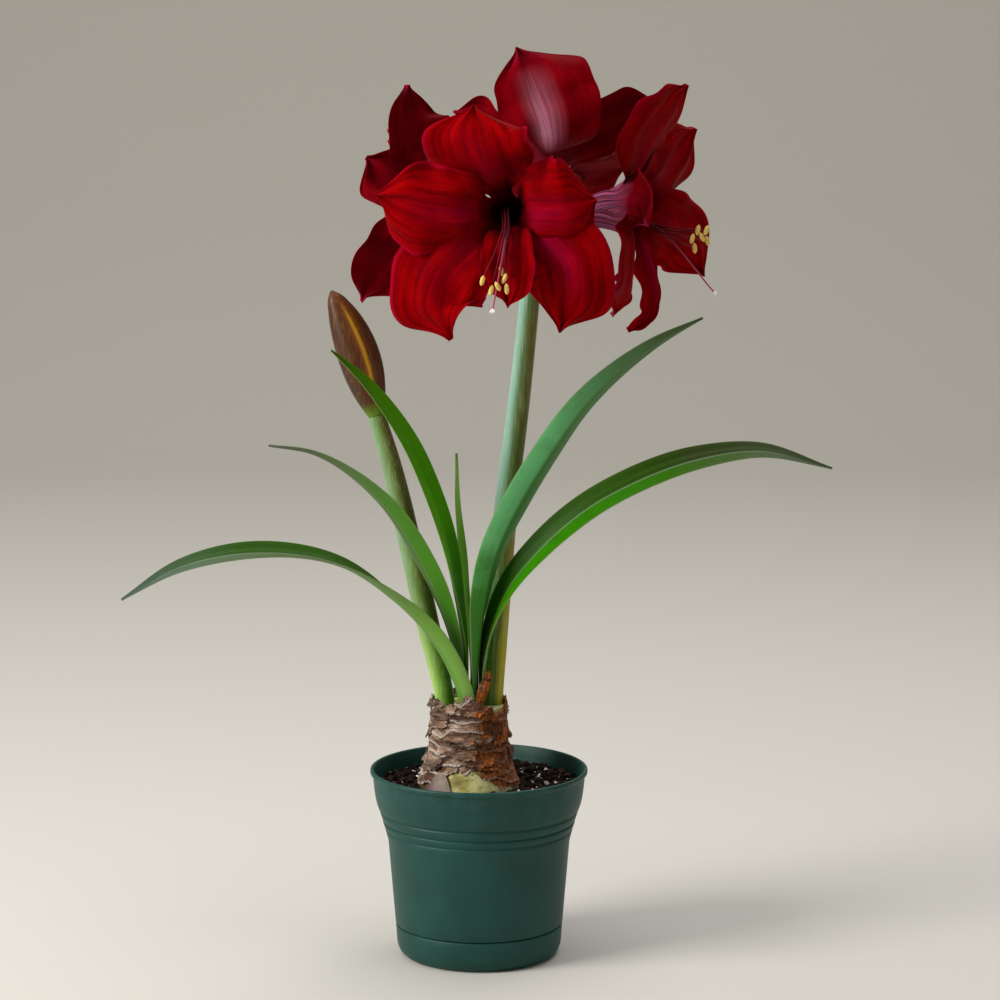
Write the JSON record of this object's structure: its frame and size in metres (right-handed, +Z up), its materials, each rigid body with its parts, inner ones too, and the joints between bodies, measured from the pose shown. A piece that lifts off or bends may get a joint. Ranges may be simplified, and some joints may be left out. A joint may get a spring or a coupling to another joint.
{
  "type": "potted amaryllis plant",
  "caption": "Potted amaryllis: large red blooms on one thick stalk, a closed bud, arching strap leaves and a papery bulb neck in a dark green plastic pot on its saucer.",
  "frame": {"origin": "centre of the saucer's underside, on the surface it stands on", "axes": "+Z up the pot; -Y is the side the front bloom faces; +X is the viewer's right"},
  "size_m": [0.5077, 0.2491, 0.6645],
  "materials": {
    "pot_plastic": "satin dark green moulded plastic",
    "saucer_plastic": "satin dark green moulded plastic",
    "soil": "damp crumbly potting soil",
    "bulb_scale": "fleshy bulb scales",
    "dry_skin": "dry papery bulb skin",
    "dry_husk": "dry leaf husk",
    "stalk": "waxy green stalk",
    "bud_stem": "waxy green stalk",
    "bud_sheath": "bronze bud sheath",
    "leaf": "glossy green leaf",
    "petal": "velvety crimson petal"
  },
  "bodies": {
    "root": {"pot": "pot_plastic", "saucer": "saucer_plastic", "soil": "soil", "bulb": "bulb_scale", "bulb_skin": "dry_skin", "dry_leaf_stub": "dry_husk", "flower_stalk": "stalk", "bud_stalk": "bud_stem", "bud": "bud_sheath", "leaf_far_left": "leaf", "leaf_mid_left": "leaf", "leaf_upper_left": "leaf", "leaf_centre": "leaf", "leaf_upper_right": "leaf", "leaf_right": "leaf", "bloom_front": "petal", "bloom_right": "petal", "bloom_back": "petal", "bloom_left": "petal"}
  },
  "joints": []
}
